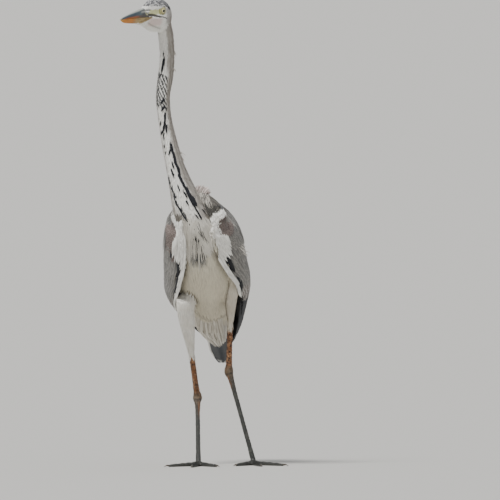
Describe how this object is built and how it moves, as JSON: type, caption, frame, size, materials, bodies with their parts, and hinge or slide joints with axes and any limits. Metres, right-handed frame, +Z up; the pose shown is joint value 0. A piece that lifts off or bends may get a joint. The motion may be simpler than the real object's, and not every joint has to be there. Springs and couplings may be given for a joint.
{
  "type": "grey heron",
  "caption": "Grey heron standing tall and watchful, long neck raised, head turned to its right and one foot forward; a still, life-size display model.",
  "frame": {"origin": "on the floor, under the middle of the bird's bounding box", "axes": "+Z up; the bird faces -Y, so +X is its left side and its tail points towards +Y"},
  "size_m": [0.2734, 0.5504, 0.8422],
  "materials": {
    "white_plumage": "matte",
    "grey_plumage": "matte",
    "tail_plumage": "matte",
    "black_plumage": "matte",
    "upper_bill_horn": "satin",
    "lower_bill_horn": "satin",
    "eyeball": "gloss",
    "bare_shin_skin": "satin",
    "slate_leg_skin": "satin",
    "claw_horn": "satin"
  },
  "bodies": {
    "root": {"trunk": "white_plumage", "tail": "tail_plumage", "neck_lower": "white_plumage", "neck_middle": "white_plumage", "neck_upper": "white_plumage", "head": "white_plumage", "bill_upper": "upper_bill_horn", "bill_lower": "lower_bill_horn", "eye_left": "eyeball", "eye_right": "eyeball", "wing_left": "grey_plumage", "primaries_left": "black_plumage", "thigh_left": "white_plumage", "shin_left": "bare_shin_skin", "hock_left": "bare_shin_skin", "tarsus_left": "slate_leg_skin", "toe_inner_left": "slate_leg_skin", "claw_inner_left": "claw_horn", "toe_middle_left": "slate_leg_skin", "claw_middle_left": "claw_horn", "toe_outer_left": "slate_leg_skin", "claw_outer_left": "claw_horn", "toe_hind_left": "slate_leg_skin", "claw_hind_left": "claw_horn", "wing_right": "grey_plumage", "primaries_right": "black_plumage", "thigh_right": "white_plumage", "shin_right": "bare_shin_skin", "hock_right": "bare_shin_skin", "tarsus_right": "slate_leg_skin", "toe_inner_right": "slate_leg_skin", "claw_inner_right": "claw_horn", "toe_middle_right": "slate_leg_skin", "claw_middle_right": "claw_horn", "toe_outer_right": "slate_leg_skin", "claw_outer_right": "claw_horn", "toe_hind_right": "slate_leg_skin", "claw_hind_right": "claw_horn"}
  },
  "joints": []
}
